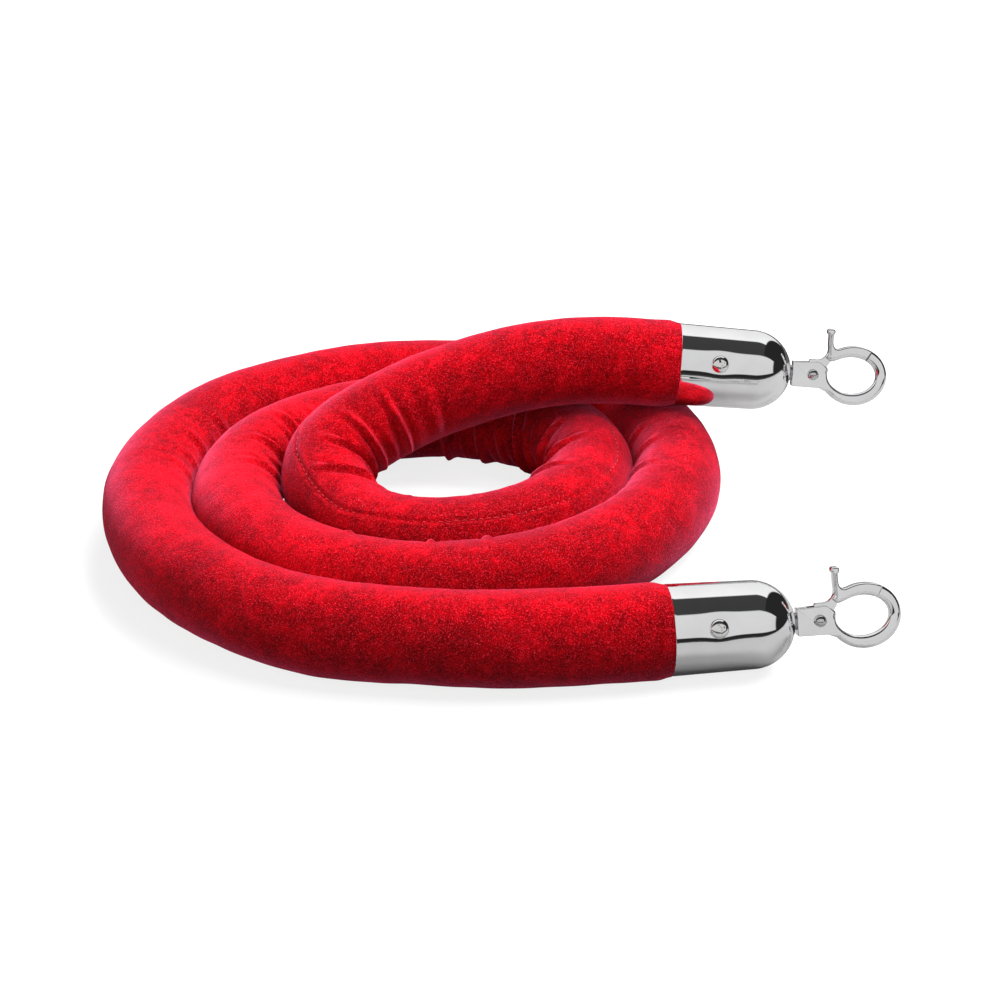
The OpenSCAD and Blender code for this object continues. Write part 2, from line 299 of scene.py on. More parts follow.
def end_radius(station):
    """The sleeve's radius: full along the rope, drawn in where it enters a cap."""
    outside = np.minimum(station, route.length - station)
    shoulder = 1.15 * MM * (1 - ease(outside / (7 * MM))) ** 1.6
    tucked = ease(-outside / (1.2 * MM))
    return np.where(outside < 0, (17.85 - 0.95 * tucked) * MM, ROPE_R - shoulder)


def gathers(station, angle):
    """Fine pleats where the sleeve is gathered into each cap."""
    outside = np.minimum(station, route.length - station)
    depth = 0.07 * MM * bump(outside / (6 * MM))
    return depth * (np.sin(46 * angle) + 0.6 * np.sin(29 * angle + 1.3))


def sleeve_stations():
    stations = [-TUCK]
    while stations[-1] < route.length + TUCK:
        now = stations[-1] / MM
        fine = any(low < now < high for low, high in FINE_STATIONS)
        near_end = min(now, route.length / MM - now) < 9
        stations.append(stations[-1] + (FINE_STEP if fine or near_end else RING_STEP))
    stations[-1] = route.length + TUCK
    return np.array(stations)


# Resting: half the gap left between two turns, the height kept over the floor, how far along
# the rope another stretch counts as another turn, and how near it has to be to press.
# Every sixth centre is tried, a batch of points at a time, and a point's own stretch of
# rope is put out of reach.
TURN_GAP = 0.12 * MM
FLOOR_GAP = 0.25 * MM
OTHER_TURN = 2.6 * ROPE_R
PRESS_WITHIN = 1.15 * ROPE_R
CENTRES_EVERY = 6
BATCH = 4000
OUT_OF_REACH = 9


def keep_clear(points, owner):
    """Flattens the sleeve where it rests on the floor or on another turn of the rope."""
    centres = route.line[::CENTRES_EVERY]
    stations = route.station[::CENTRES_EVERY]
    flat = points.reshape(-1, 3)
    own = np.repeat(owner, points.shape[1])
    for start in range(0, len(flat), BATCH):
        part = slice(start, start + BATCH)
        spot, station = flat[part], own[part]
        gap = np.linalg.norm(spot[:, None] - centres[None], axis=2)
        gap[np.abs(station[:, None] - stations[None]) < OTHER_TURN] = OUT_OF_REACH
        nearest = gap.argmin(1)
        near = gap.min(1) < PRESS_WITHIN
        middle = route.at(station, route.line)
        other = centres[nearest]
        away = other - middle
        apart = np.linalg.norm(away, axis=1)
        away /= apart[:, None]
        over = ((spot - middle) * away).sum(1) - (apart / 2 - TURN_GAP)
        push = np.where(near & (over > 0), over, 0)
        flat[part] = spot - push[:, None] * away
    flat[:, 2] = np.maximum(flat[:, 2], FLOOR_GAP)
    return flat.reshape(points.shape)


def sleeve_points(stations):
    angle = np.linspace(0, 2 * math.pi, AROUND, endpoint=False)[None]
    station = stations[:, None]
    degrees = np.degrees(angle)
    radius = end_radius(station) + 0.22 * MM * lumps(station, angle, 3, 90 * MM)
    radius = radius + 0.07 * MM * lumps(station, angle, 5, 17 * MM)
    inside = (station > 12 * MM) & (station < route.length - 12 * MM)
    folds = np.maximum(fold_height(station, degrees), -1.5 * MM) + small_folds(station, degrees)
    radius = radius + np.where(inside, folds, 0) + gathers(station, angle)
    off_seam = (degrees - seam_angle(station) + 180) % 360 - 180
    groove = np.radians(off_seam) * ROPE_R / SEAM_HALF
    radius = radius - SEAM_DEEP * bump(groove) + 0.3 * SEAM_DEEP * bump((np.abs(groove) - 2.2) / 0.9)
    middle = route.at(stations, route.line)[:, None]
    side = route.at(stations, route.side)[:, None]
    up = route.at(stations, route.up)[:, None]
    out = np.cos(angle)[..., None] * side + np.sin(angle)[..., None] * up
    return keep_clear(middle + radius[..., None] * out, stations)


def tube_faces(rings, around):
    faces = []
    for k in range(rings - 1):
        for j in range(around):
            n = (j + 1) % around
            faces.append((k * around + j, k * around + n, (k + 1) * around + n, (k + 1) * around + j))
    faces.append(tuple(range(around - 1, -1, -1)))
    faces.append(tuple(range((rings - 1) * around, rings * around)))
    return faces


def mesh_object(name, points, faces, sharp=None):
    """A new object; every edge is smooth but those sharper than the angle in degrees."""
    mesh = bpy.data.meshes.new(name)
    mesh.from_pydata([tuple(p) for p in points], [], faces)
    mesh.shade_smooth()
    if sharp is not None:
        mesh.set_sharp_from_angle(angle=math.radians(sharp))
    mesh.update()
    piece = bpy.data.objects.new(name, mesh)
    bpy.context.scene.collection.objects.link(piece)
    return piece


def outward(piece):
    """Turns every face of a closed mesh outward."""
    edit = bmesh.new()
    edit.from_mesh(piece.data)
    bmesh.ops.recalc_face_normals(edit, faces=edit.faces)
    edit.to_mesh(piece.data)
    edit.free()


def make_sleeve():
    stations = sleeve_stations()
    points = sleeve_points(stations)
    sleeve = mesh_object("velvet_rope", points.reshape(-1, 3), tube_faces(len(stations), AROUND), 60)
    outward(sleeve)
    return sleeve


CORE_R = 16.6 * MM
CORE_STEP = 6 * MM
CORE_AROUND = 32


def make_core():
    """The foam core: a plain soft roll inside the sleeve, between the two plugs."""
    stations = np.arange(STRAIGHT, route.length - STRAIGHT, CORE_STEP)
    angle = np.linspace(0, 2 * math.pi, CORE_AROUND, endpoint=False)[None]
    middle = route.at(stations, route.line)[:, None]
    side = route.at(stations, route.side)[:, None]
    up = route.at(stations, route.up)[:, None]
    radius = CORE_R + 0.2 * MM * lumps(stations[:, None], angle, 8, 40 * MM)
    out = np.cos(angle)[..., None] * side + np.sin(angle)[..., None] * up
    points = middle + radius[..., None] * out
    faces = tube_faces(len(stations), CORE_AROUND)
    core = mesh_object("foam_roll", points.reshape(-1, 3), faces, 60)
    outward(core)
    return core


STITCH_PITCH = 2.8 * MM
STITCH_LONG = 1.5 * MM
STITCH_R = 0.2 * MM


def make_stitches():
    """The seam's thread: one short rounded stitch after another, sunk in its groove."""
    points, faces = [], []
    around, rings = 6, 5
    for station in np.arange(6 * MM, route.length - 6 * MM, STITCH_PITCH):
        at = station + STITCH_LONG * (np.linspace(0, 1, rings) - 0.5)
        turn = np.radians(seam_angle(at))
        middle = route.at(at, route.line)
        side, up = route.at(at, route.side), route.at(at, route.up)
        out = np.cos(turn)[:, None] * side + np.sin(turn)[:, None] * up
        arch = np.sin(np.linspace(0, math.pi, rings)) * 0.22 * MM
        spine = middle + out * (ROPE_R - SEAM_DEEP - 0.02 * MM + arch)[:, None]
        if spine[:, 2].min() < 1.2 * MM:
            continue
        across = np.cross(np.gradient(spine, axis=0), out)
        across /= np.linalg.norm(across, axis=1)[:, None]
        thick = STITCH_R * np.sqrt(np.clip(1 - np.linspace(-0.93, 0.93, rings) ** 2, 0, 1))
        first = len(points)
        for k in range(rings):
            for j in range(around):
                q = 2 * math.pi * j / around
                points.append(spine[k] + thick[k] * (math.cos(q) * across[k] + math.sin(q) * out[k]))
        for face in tube_faces(rings, around):
            faces.append(tuple(first + v for v in face))
    stitches = mesh_object("seam_stitches", points, faces)
    outward(stitches)
    return stitches


# ---------------------------------------------------------------- turned and cut metal pieces

def lathe_faces(rings, around, closed):
    faces = []
    for k in range(rings if closed else rings - 1):
        m = (k + 1) % rings
        for j in range(around):
            n = (j + 1) % around
            faces.append((k * around + j, k * around + n, m * around + n, m * around + j))
    if not closed:
        faces.append(tuple(range(around - 1, -1, -1)))
        faces.append(tuple(range((rings - 1) * around, rings * around)))
    return faces


def lathe(name, profile, matrix, closed=False, around=96, dent=None, sharp=35):
    """Turns a profile of (distance along x, radius) in millimetres about the x axis."""
    points = []
    for s, r in profile:
        for j in range(around):
            q = 2 * math.pi * j / around
            point = Vector((s, -r * math.sin(q), r * math.cos(q)))
            if dent:
                point = dent(point)
            points.append(matrix @ (point * MM))
    piece = mesh_object(name, points, lathe_faces(len(profile), around, closed), sharp)
    outward(piece)
    return piece


def arc(c, a, b, first, last, n):
    """Points on an ellipse's arc, with its angles in degrees."""
    q = np.radians(np.linspace(first, last, n))
    return [(c[0] + a * math.cos(t), c[1] + b * math.sin(t)) for t in q]


def rounded_outline(points, radius, n=5):
    """Rounds each corner of a closed outline by cutting it at the given distance."""
    result = []
    for i, p in enumerate(points):
        p = np.array(p)
        before, after = np.array(points[i - 1]), np.array(points[(i + 1) % len(points)])
        u, v = before - p, after - p
        cut = min(radius, 0.45 * np.linalg.norm(u), 0.45 * np.linalg.norm(v))
        start = p + u / np.linalg.norm(u) * cut
        stop = p + v / np.linalg.norm(v) * cut
        for t in np.linspace(0, 1, n):
            result.append(tuple((1 - t) ** 2 * start + 2 * t * (1 - t) * p + t * t * stop))
    return result


def insets(flat, radius, walls):
    """How each point of an outline moves when its sides, but not its walls, move inwards."""
    ahead = np.roll(flat, -1, axis=0) - flat
    ahead /= np.linalg.norm(ahead, axis=1)[:, None]
    after = np.stack([-ahead[:, 1], ahead[:, 0]], 1)
    before = np.roll(after, 1, axis=0)
    far_after = np.where(walls, 0, radius)
    far_before = np.where(np.roll(walls, 1), 0, radius)
    turn = before[:, 0] * after[:, 1] - before[:, 1] * after[:, 0]
    sharp = np.abs(turn) > 0.05
    safe = np.where(sharp, turn, 1)
    x = (far_before * after[:, 1] - far_after * before[:, 1]) / safe
    z = (far_after * before[:, 0] - far_before * after[:, 0]) / safe
    middle = (after + before) / 2 * radius[:, None]
    return np.where(sharp[:, None], np.stack([x, z], 1), middle)


EDGE_STEPS = 5


def slab(name, outline, thickness, matrix, edge=0.0, middle=0.0, walls=()):
    """A flat plate of the outline in the x-z plane, with its edges rounded by edge.

    edge is a radius in millimetres, or one for each point of the outline. walls numbers the
    points after which a side stays square.
    """
    flat = np.array(outline, float)
    radius = np.broadcast_to(edge, len(flat)).astype(float)
    square = np.zeros(len(flat), bool)
    square[list(walls)] = True
    nxt = np.roll(flat, -1, axis=0)
    if (flat[:, 0] * nxt[:, 1] - nxt[:, 0] * flat[:, 1]).sum() < 0:
        flat = flat[::-1]
        radius = radius[::-1]
        square = np.roll(square[::-1], -1)
    levels = [(1 - math.cos(q), 1 - math.sin(q)) for q in np.linspace(math.pi / 2, 0, EDGE_STEPS)]
    if not radius.any():
        levels = [(0, 0)]
    moves = insets(flat, radius, square)
    points = []
    for side, order in ((1, levels), (-1, levels[::-1])):
        for inset, drop in order:
            ring = flat + moves * inset
            height = middle + side * (thickness / 2 - radius * drop)
            for (x, z), y in zip(ring, height):
                points.append(matrix @ (Vector((x, y, z)) * MM))
    piece = mesh_object(name, points, lathe_faces(2 * len(levels), len(flat), False), 35)
    outward(piece)
    return piece


def flat_faces(piece, matrix):
    """Keeps the faces across a plate's thickness truly flat, beside their rounded edges."""
    across = (matrix.to_3x3() @ Vector((0, 1, 0))).normalized()
    for face in piece.data.polygons:
        if abs(face.normal.dot(across)) > 0.9995:
            face.use_smooth = False


def combine(piece, other, how):
    """Unites piece with other, or cuts other out of it, and removes other."""
    step = piece.modifiers.new(how, "BOOLEAN")
    step.operation = how
    step.object = other
    step.solver = "EXACT"
    bpy.context.view_layer.update()
    made = bpy.data.meshes.new_from_object(piece.evaluated_get(bpy.context.evaluated_depsgraph_get()))
    piece.modifiers.clear()
    old = piece.data
    made.name = old.name
    piece.data = made
    bpy.data.meshes.remove(old)
    bpy.data.objects.remove(other)
    piece.data.shade_smooth()
    piece.data.set_sharp_from_angle(angle=math.radians(35))
    return piece


# ---------------------------------------------------------------- end caps and their screws

CAP_MOUTH_R = 17.95
CAP_DOME_R = 17.4
CAP_WALL_L = 33
CAP_T = 0.8
APEX_FLAT_R = 3.6
APEX_S = CAP_WALL_L + math.sqrt(CAP_DOME_R**2 - APEX_FLAT_R**2)
STUD_HOLE_R = 2.05
SCREW_AT = 17
SCREW_TURNS = (62, 242)
SCREW_HEAD_R = 3.8
SCREW_HEAD_H = 2.5
DENT_DEEP = 0.34
DENT_WIDE = 5.2


def cap_outline():
    """The cap's wall in section: out over the mouth's rolled edge, along, and back inside."""
    lip = 0.4
    outer = [
        (lip - lip * math.sin(q), CAP_MOUTH_R - lip + lip * math.cos(q))
        for q in np.linspace(math.pi, 0, 9)
    ]
    wall = [
        (s, CAP_MOUTH_R + (CAP_DOME_R - CAP_MOUTH_R) * s / CAP_WALL_L)
        for s in np.linspace(1.2, CAP_WALL_L, 34)
    ]
    last = math.acos(APEX_FLAT_R / CAP_DOME_R)
    dome = [
        (CAP_WALL_L + CAP_DOME_R * math.sin(q), CAP_DOME_R * math.cos(q))
        for q in np.linspace(0.03, last, 30)
    ]
    flat = [(APEX_S, 2.5), (APEX_S - 0.1, 2.15), (APEX_S - 0.3, STUD_HOLE_R)]
    inner_r = CAP_DOME_R - CAP_T
    inside = [
        (CAP_WALL_L + inner_r * math.sin(q), inner_r * math.cos(q))
        for q in np.linspace(math.acos(STUD_HOLE_R / inner_r), 0, 16)
    ]
    return outer + wall + dome + flat + inside


def screw_direction(turn):
    q = math.radians(turn)
    return Vector((0, -math.sin(q), math.cos(q)))


def cap_dent(point):
    """Each screw draws the thin wall in a little around its head."""
    out = Vector((0, point.y, point.z))
    for turn in SCREW_TURNS:
        seat = screw_direction(turn) * CAP_MOUTH_R + Vector((SCREW_AT, 0, 0))
        distance = (point - seat).length
        in_by = DENT_DEEP * math.exp(-((distance / DENT_WIDE) ** 2))
        point = point - out.normalized() * in_by
    return point


def make_cap(end):
    return lathe(f"cap_{end}", cap_outline(), end_matrix(end), True, 160, cap_dent, 50)


def make_screws(end):
    """Pan-head screws with a cross recess, as one piece of two loose parts."""
    seat = CAP_MOUTH_R - 0.42
    dome = [
        (seat + SCREW_HEAD_H * math.sin(q), SCREW_HEAD_R * math.cos(q) ** 0.8)
        for q in np.linspace(0.0, 1.45, 12)
    ]
    profile = [(seat - 0.6, SCREW_HEAD_R - 0.5), (seat - 0.2, SCREW_HEAD_R - 0.08)] + dome
    shank = [(7, 0.4), (8.6, 1.3), (seat - 0.6, 1.3)]
    screws = None
    for turn in SCREW_TURNS:
        place = (
            end_matrix(end)
            @ Matrix.Translation((SCREW_AT * MM, 0, 0))
            @ Matrix.Rotation(math.radians(turn), 4, "X")
            @ Matrix.Rotation(-math.pi / 2, 4, "Y")
        )
        screw = lathe(f"cap_screws_{end}", shank + profile, place, False, 48, None, 40)
        for spin in (20, 110):
            blade = [(seat + 0.8, 0.7), (seat + 3, 1.2), (seat + 3, -1.2), (seat + 0.8, -0.7)]
            turned = place @ Matrix.Rotation(math.radians(spin), 4, "X")
            combine(screw, slab("blade", blade, 1.0, turned), "DIFFERENCE")
            long = [(seat + 1.35, 1.5), (seat + 3, 2.1), (seat + 3, -2.1), (seat + 1.35, -1.5)]
            combine(screw, slab("blade", long, 0.8, turned), "DIFFERENCE")
        if screws is None:
            screws = screw
        else:
            merged = bmesh.new()
            merged.from_mesh(screws.data)
            merged.from_mesh(screw.data)
            merged.to_mesh(screws.data)
            merged.free()
            bpy.data.objects.remove(screw)
    return screws


# ---------------------------------------------------------------- hooks and their gates

HOOK_LEAN = math.radians(20)
HOOK_T = 5
SLOT_W = 2.5
# The ring's hole and its rim, as ellipses: middle, half width and half height.
HOLE = ((27.4, 0.75), 10.8, 8.05)
RIM = ((28.4, 0.7), 14.5, 13)
NOSE_IN = 57.5
NOSE_OUT = 60.2
NOSE_GAP_TURN = 4.16
RIVET = (10.1, 0.1)
RIVET_R = 1.2
RIVET_HEAD_R = 2.45
HUB_R = 4.5
BORE_R = RIVET_R + 0.05
RING_POINTS = 110
PLATE_X = 1
PLATE_TOP = 5.75
RING_EDGE = 1.75
PLATE_EDGE = 0.35
LEVER_EDGE = 0.95

# The slot between the hook's cheeks, from the rivet: its round back, and its front and top.
SLOT_BACK_R = 7
SLOT_FRONT = 7.9
SLOT_TOP = 9

# Room in the gate for the spring: a round pocket for its turns and a curved groove for its
# tail, each with its thickness and the place of its middle across the gate.
POCKET_R = 2.7
POCKET_T = 3
POCKET_Y = 1.68
GROOVE_R = (1.5, 2.3)
GROOVE_TURN = (16, 68)
GROOVE_T = 1.5
GROOVE_Y = 0.15


def hook_matrix(end):
    lean = Matrix.Rotation(-HOOK_LEAN, 4, "X")
    return end_matrix(end) @ lean @ Matrix.Translation((APEX_S * MM, 0, 0))


def edge_radii(outline, narrow_above=None):
    """Small crisp edges on the plate, and well rounded ones on the ring and the lever."""
    radii = []
    for x, z in outline:
        radius = PLATE_EDGE + (RING_EDGE - PLATE_EDGE) * float(ease((x - 13.5) / 5))
        if narrow_above is not None:
            mix = float(ease((z - narrow_above) / 3))
            radius = max(radius, RING_EDGE * (1 - mix)) * (1 - mix) + LEVER_EDGE * mix
        radii.append(radius)
    return np.array(radii)


def hook_outline():
    foot = rounded_outline([(13.7, -PLATE_TOP), (PLATE_X, -PLATE_TOP), (PLATE_X, PLATE_TOP)], 1)
    return (
        foot[5:]
        + [(12.4, PLATE_TOP), (12.9, 5.62), (13.4, 5.3), (16.2, 3.5), (16.6, 3.05)]
        + arc(*HOLE, 170, 360 + NOSE_IN, RING_POINTS)
        + arc(*RIM, NOSE_OUT, -142, RING_POINTS)
        + [(14.6, -PLATE_TOP - 0.6), (13.4, -PLATE_TOP)]
    )


def circle(c, r, n=48):
    return arc(c, r, r, 0, 360 - 360 / n, n)


def make_hook(end):
    place = hook_matrix(end)
    outline = hook_outline()
    nose = len(outline) - 2 - RING_POINTS - 1
    hook = slab(f"hook_{end}", outline, HOOK_T, place, edge_radii(outline), walls=[nose])
    x, z = RIVET
    combine(hook, slab("bore", circle(RIVET, BORE_R, 32), 2 * HOOK_T, place), "DIFFERENCE")
    slot = (
        arc(RIVET, SLOT_BACK_R, SLOT_BACK_R, 90, 270, 40)
        + arc(RIVET, HUB_R + 0.3, HUB_R + 0.3, -90, 0, 16)
        + [(x + SLOT_FRONT, z + 1.5), (x + SLOT_FRONT, z + SLOT_TOP), (x, z + SLOT_TOP)]
    )
    combine(hook, slab("slot", slot, SLOT_W, place), "DIFFERENCE")
    flat_faces(hook, place)
    return hook


def gate_outline():
    lever = [
        (17.4, 5.9), (14.9, 8), (16, 9.8), (16.3, 11.5), (16, 13.5), (15.9, 18),
        (15.1, 18.6), (15, 19.8), (15.7, 20.6), (17.9, 20.6), (18.6, 19.8), (18.5, 18.6),
        (17.9, 18), (18, 14.5), (18.4, 13), (19.2, 12.1), (20.3, 11.9),
    ]
    smooth = rounded_outline([arc(*HOLE, 125, 126, 2)[0]] + lever + [arc(*RIM, 117, 116, 2)[0]], 1.3)
    return (
        arc(*HOLE, NOSE_IN + NOSE_GAP_TURN, 124, 40)
        + smooth[5:-5]
        + arc(*RIM, 116.5, NOSE_OUT + 0.62 * NOSE_GAP_TURN, 40)
    )


def make_gate(end):
    place = hook_matrix(end)
    outline = gate_outline()
    tip = len(outline) - 1
    gate = slab(f"gate_{end}", outline, HOOK_T, place, edge_radii(outline, 9.5), walls=[tip])
    tongue = [
        (8.2, 0.1), (8.2, 6.3), (8.9, 6.7), (12.6, 6.7), (14, 7.2), (15.4, 8.6),
        (18, 8), (17.2, 5.4), (14.2, 1),
    ]
    tongue_t = SLOT_W - 0.2
    combine(gate, slab("tongue", rounded_outline(tongue, 0.6), tongue_t, place, 0.12), "UNION")
    combine(gate, slab("hub", circle(RIVET, HUB_R, 72), tongue_t - 0.004, place, 0.12), "UNION")
    combine(gate, slab("bore", circle(RIVET, BORE_R, 32), 2 * HOOK_T, place), "DIFFERENCE")
    pocket = circle(RIVET, POCKET_R, 48)
    combine(gate, slab("pocket", pocket, POCKET_T, place, 0.0, POCKET_Y), "DIFFERENCE")
    near, far = GROOVE_R
    low, high = GROOVE_TURN
    groove = arc(RIVET, far, far, low, high, 12) + arc(RIVET, near, near, high, low, 12)
    combine(gate, slab("groove", groove, GROOVE_T, place, 0.0, GROOVE_Y), "DIFFERENCE")
    flat_faces(gate, place)
    return gate


def make_rivet(end):
    """A shank with a ball head on each face of the hook."""
    face = HOOK_T / 2 + 0.02
    centre = HOOK_T / 2 + 0.5
    foot = math.asin((face - centre) / RIVET_HEAD_R)
    head = [
        (centre + RIVET_HEAD_R * math.sin(q), RIVET_HEAD_R * math.cos(q))
        for q in np.linspace(foot, 1.5, 16)
    ]
    side = [(face, RIVET_R)] + head
    profile = [(-s, r) for s, r in side[::-1]] + side
    x, z = RIVET
    place = (
        hook_matrix(end)
        @ Matrix.Translation((x * MM, 0, z * MM))
        @ Matrix.Rotation(math.pi / 2, 4, "Z")
    )
    return lathe(f"rivet_{end}", profile, place, False, 48, None, 50)


# ---------------------------------------------------------------- materials

class Nodes:
    """A short way to build a material's node tree."""

    def __init__(self, name):
        self.material = bpy.data.materials.new(name)
        self.material.use_nodes = True
        self.tree = self.material.node_tree
        self.shader = self.tree.nodes["Principled BSDF"]

    def add(self, kind, links=None, **values):
        node = self.tree.nodes.new(kind)
        for key, value in values.items():
            setattr(node, key, value)
        for socket, source in (links or {}).items():
            if isinstance(source, bpy.types.NodeSocket):
                self.tree.links.new(source, node.inputs[socket])
            else:
                node.inputs[socket].default_value = source
        return node

    def place(self):
        return self.add("ShaderNodeTexCoord").outputs["Object"]

    def noise(self, scale, detail=3.0, rough=0.55, vector=None):
        vector = vector or self.place()
        links = {"Vector": vector, "Scale": scale, "Detail": detail, "Roughness": rough}
        return self.add("ShaderNodeTexNoise", links).outputs["Fac"]

    def ramp(self, source, *stops):
        node = self.add("ShaderNodeValToRGB", {"Fac": source})
        marks = node.color_ramp.elements
        while len(marks) < len(stops):
            marks.new(0.5)
        for mark, (at, colour) in zip(marks, stops):
            mark.position = at
            mark.color = (*colour, 1) if np.ndim(colour) else (colour, colour, colour, 1)
        return node.outputs["Color"]

    def math(self, operation, first, second=0.0):
        node = self.add("ShaderNodeMath", {0: first, 1: second}, operation=operation)
        return node.outputs[0]

    def mix(self, factor, first, second):
        node = self.add("ShaderNodeMix", data_type="RGBA")
        for socket, source in ((0, factor), (6, first), (7, second)):
            if isinstance(source, bpy.types.NodeSocket):
                self.tree.links.new(source, node.inputs[socket])
            else:
                node.inputs[socket].default_value = (*source, 1) if np.ndim(source) else source
        return node.outputs[2]

    def bump(self, height, strength, distance, normal=None):
        links = {"Height": height, "Strength": strength, "Distance": distance}
        if normal:
            links["Normal"] = normal
        return self.add("ShaderNodeBump", links).outputs["Normal"]

    def set(self, **values):
        for key, value in values.items():
            socket = self.shader.inputs[key.replace("_", " ")]
            if isinstance(value, bpy.types.NodeSocket):
                self.tree.links.new(value, socket)
            else:
                socket.default_value = value
        return self.material


def velvet():
    n = Nodes("crimson_velvet")
    rope = n.add("ShaderNodeUVMap", uv_map="rope").outputs["UV"]
    nap = n.noise(34, 4, 0.55)
    drift = n.noise(11, 2, 0.5)
    grain = n.noise(1900, 2, 0.7)
    crush = n.noise(560, 3, 0.65)
    mottle = n.noise(150, 3, 0.6)
    broad = n.math("ADD", n.math("MULTIPLY", nap, 0.3), n.math("MULTIPLY", drift, 0.3))
    patch = n.math("ADD", broad, n.math("MULTIPLY", mottle, 0.4))
    pile = n.math("ADD", n.math("MULTIPLY", grain, 0.6), n.math("MULTIPLY", crush, 0.4))
    dull, plain, fresh = (0.23, 0.0, 0.001), (0.37, 0.0, 0.002), (0.56, 0.001, 0.006)
    cloth = n.ramp(patch, (0.42, dull), (0.51, plain), (0.61, fresh))
    shade = n.ramp(pile, (0.38, (0.40, 0.40, 0.40)), (0.60, (1.15, 1.15, 1.15)))
    coloured = n.add("ShaderNodeMix", data_type="RGBA", blend_type="MULTIPLY")
    coloured.inputs[0].default_value = 1.0
    n.tree.links.new(cloth, coloured.inputs[6])
    n.tree.links.new(shade, coloured.inputs[7])
    fleck = n.add("ShaderNodeTexVoronoi", {"Vector": n.place(), "Scale": 210.0, "Randomness": 1.0})
    lint = n.ramp(fleck.outputs["Distance"], (0.03, 1.0), (0.05, 0.0))
    rare = n.ramp(n.noise(70, 1, 0.5), (0.58, 0.0), (0.62, 1.0))
    speck = n.math("MULTIPLY", n.math("MULTIPLY", lint, rare), 0.45)
    rows = n.add("ShaderNodeTexWave", {"Vector": rope, "Scale": 210.0, "Distortion": 0.6, "Detail": 1.0})
    rows.wave_profile = "SIN"
    worn = n.ramp(n.noise(24, 2, 0.5), (0.50, 0.0), (0.62, 1.0))
    rows_height = n.math("MULTIPLY", rows.outputs["Fac"], worn)
    normal = n.bump(nap, 0.35, 2.5 * MM)
    normal = n.bump(mottle, 0.25, 1.0 * MM, normal)
    normal = n.bump(crush, 0.5, 0.35 * MM, normal)
    normal = n.bump(grain, 1.0, 0.35 * MM, normal)
    normal = n.bump(rows_height, 0.35, 0.12 * MM, normal)
    # Painted highlight: the brightest pile grains are mixed half way towards a bright pink red in the
    # base colour, standing in for the sheen's glitter.
    painted_glint = n.math("MULTIPLY", n.ramp(grain, (0.55, 0.0), (0.68, 1.0)), 0.5)
    bright = n.mix(painted_glint, coloured.outputs[2], (1.0, 0.035, 0.08))
    return n.set(
        Base_Color=n.mix(speck, bright, (0.9, 0.35, 0.38)),
        Roughness=n.ramp(crush, (0.3, 0.7), (0.7, 0.92)),
        Normal=normal,
        Specular_IOR_Level=0.1,
        Sheen_Weight=1.0,
        Sheen_Roughness=0.31,
        Sheen_Tint=(1.0, 0.12, 0.25, 1),
    )


def thread():
    n = Nodes("seam_thread")
    ply = n.noise(2600, 1, 0.5)
    return n.set(
        Base_Color=n.ramp(ply, (0.35, (0.30, 0.002, 0.008)), (0.65, (0.62, 0.02, 0.04))),
        Roughness=0.6,
        Normal=n.bump(ply, 0.5, 0.1 * MM),
        Sheen_Weight=0.5,
        Sheen_Roughness=0.4,
    )


def foam():
    n = Nodes("core_foam")
    cells = n.add("ShaderNodeTexVoronoi", {"Vector": n.place(), "Scale": 900.0})
    return n.set(
        Base_Color=n.ramp(n.noise(160, 4), (0.3, (0.80, 0.78, 0.70)), (0.7, (0.93, 0.91, 0.86))),
        Roughness=0.95,
        Normal=n.bump(cells.outputs["Distance"], 0.6, 0.4 * MM),
    )


def wood():
    n = Nodes("plug_wood")
    stretch = n.add("ShaderNodeMapping", {"Vector": n.place(), "Scale": (25.0, 220.0, 220.0)})
    grain = n.noise(1.0, 5, 0.6, stretch.outputs["Vector"])
    return n.set(
        Base_Color=n.ramp(grain, (0.35, (0.42, 0.26, 0.13)), (0.65, (0.72, 0.52, 0.31))),
        Roughness=n.ramp(grain, (0.3, 0.5), (0.7, 0.75)),
        Normal=n.bump(grain, 0.3, 0.2 * MM),
    )


def plated(name, colour, rough, wear=0.02, waves=0.02):
    """Bright plating: a little uneven in gloss, with the faintest waves under it."""
    n = Nodes(name)
    cloud = n.noise(90, 3, 0.5)
    low = tuple(0.93 * c for c in colour)
    return n.set(
        Base_Color=n.ramp(cloud, (0.3, low), (0.7, colour)),
        Metallic=1.0,
        Roughness=n.ramp(n.noise(420, 4, 0.6), (0.35, rough), (0.75, rough + wear)),
        Normal=n.bump(n.noise(60, 2, 0.4), waves, 0.5 * MM),
    )


def brushed(name, colour, rough):
    """Plain steel with fine turning marks."""
    n = Nodes(name)
    fine = n.noise(2400, 3, 0.6)
    low = tuple(0.75 * c for c in colour)
    return n.set(
        Base_Color=n.ramp(n.noise(300, 3), (0.3, low), (0.7, colour)),
        Metallic=1.0,
        Roughness=n.ramp(fine, (0.3, rough), (0.7, rough + 0.18)),
        Normal=n.bump(fine, 0.15, 0.05 * MM),
    )


# ---------------------------------------------------------------- floor and light

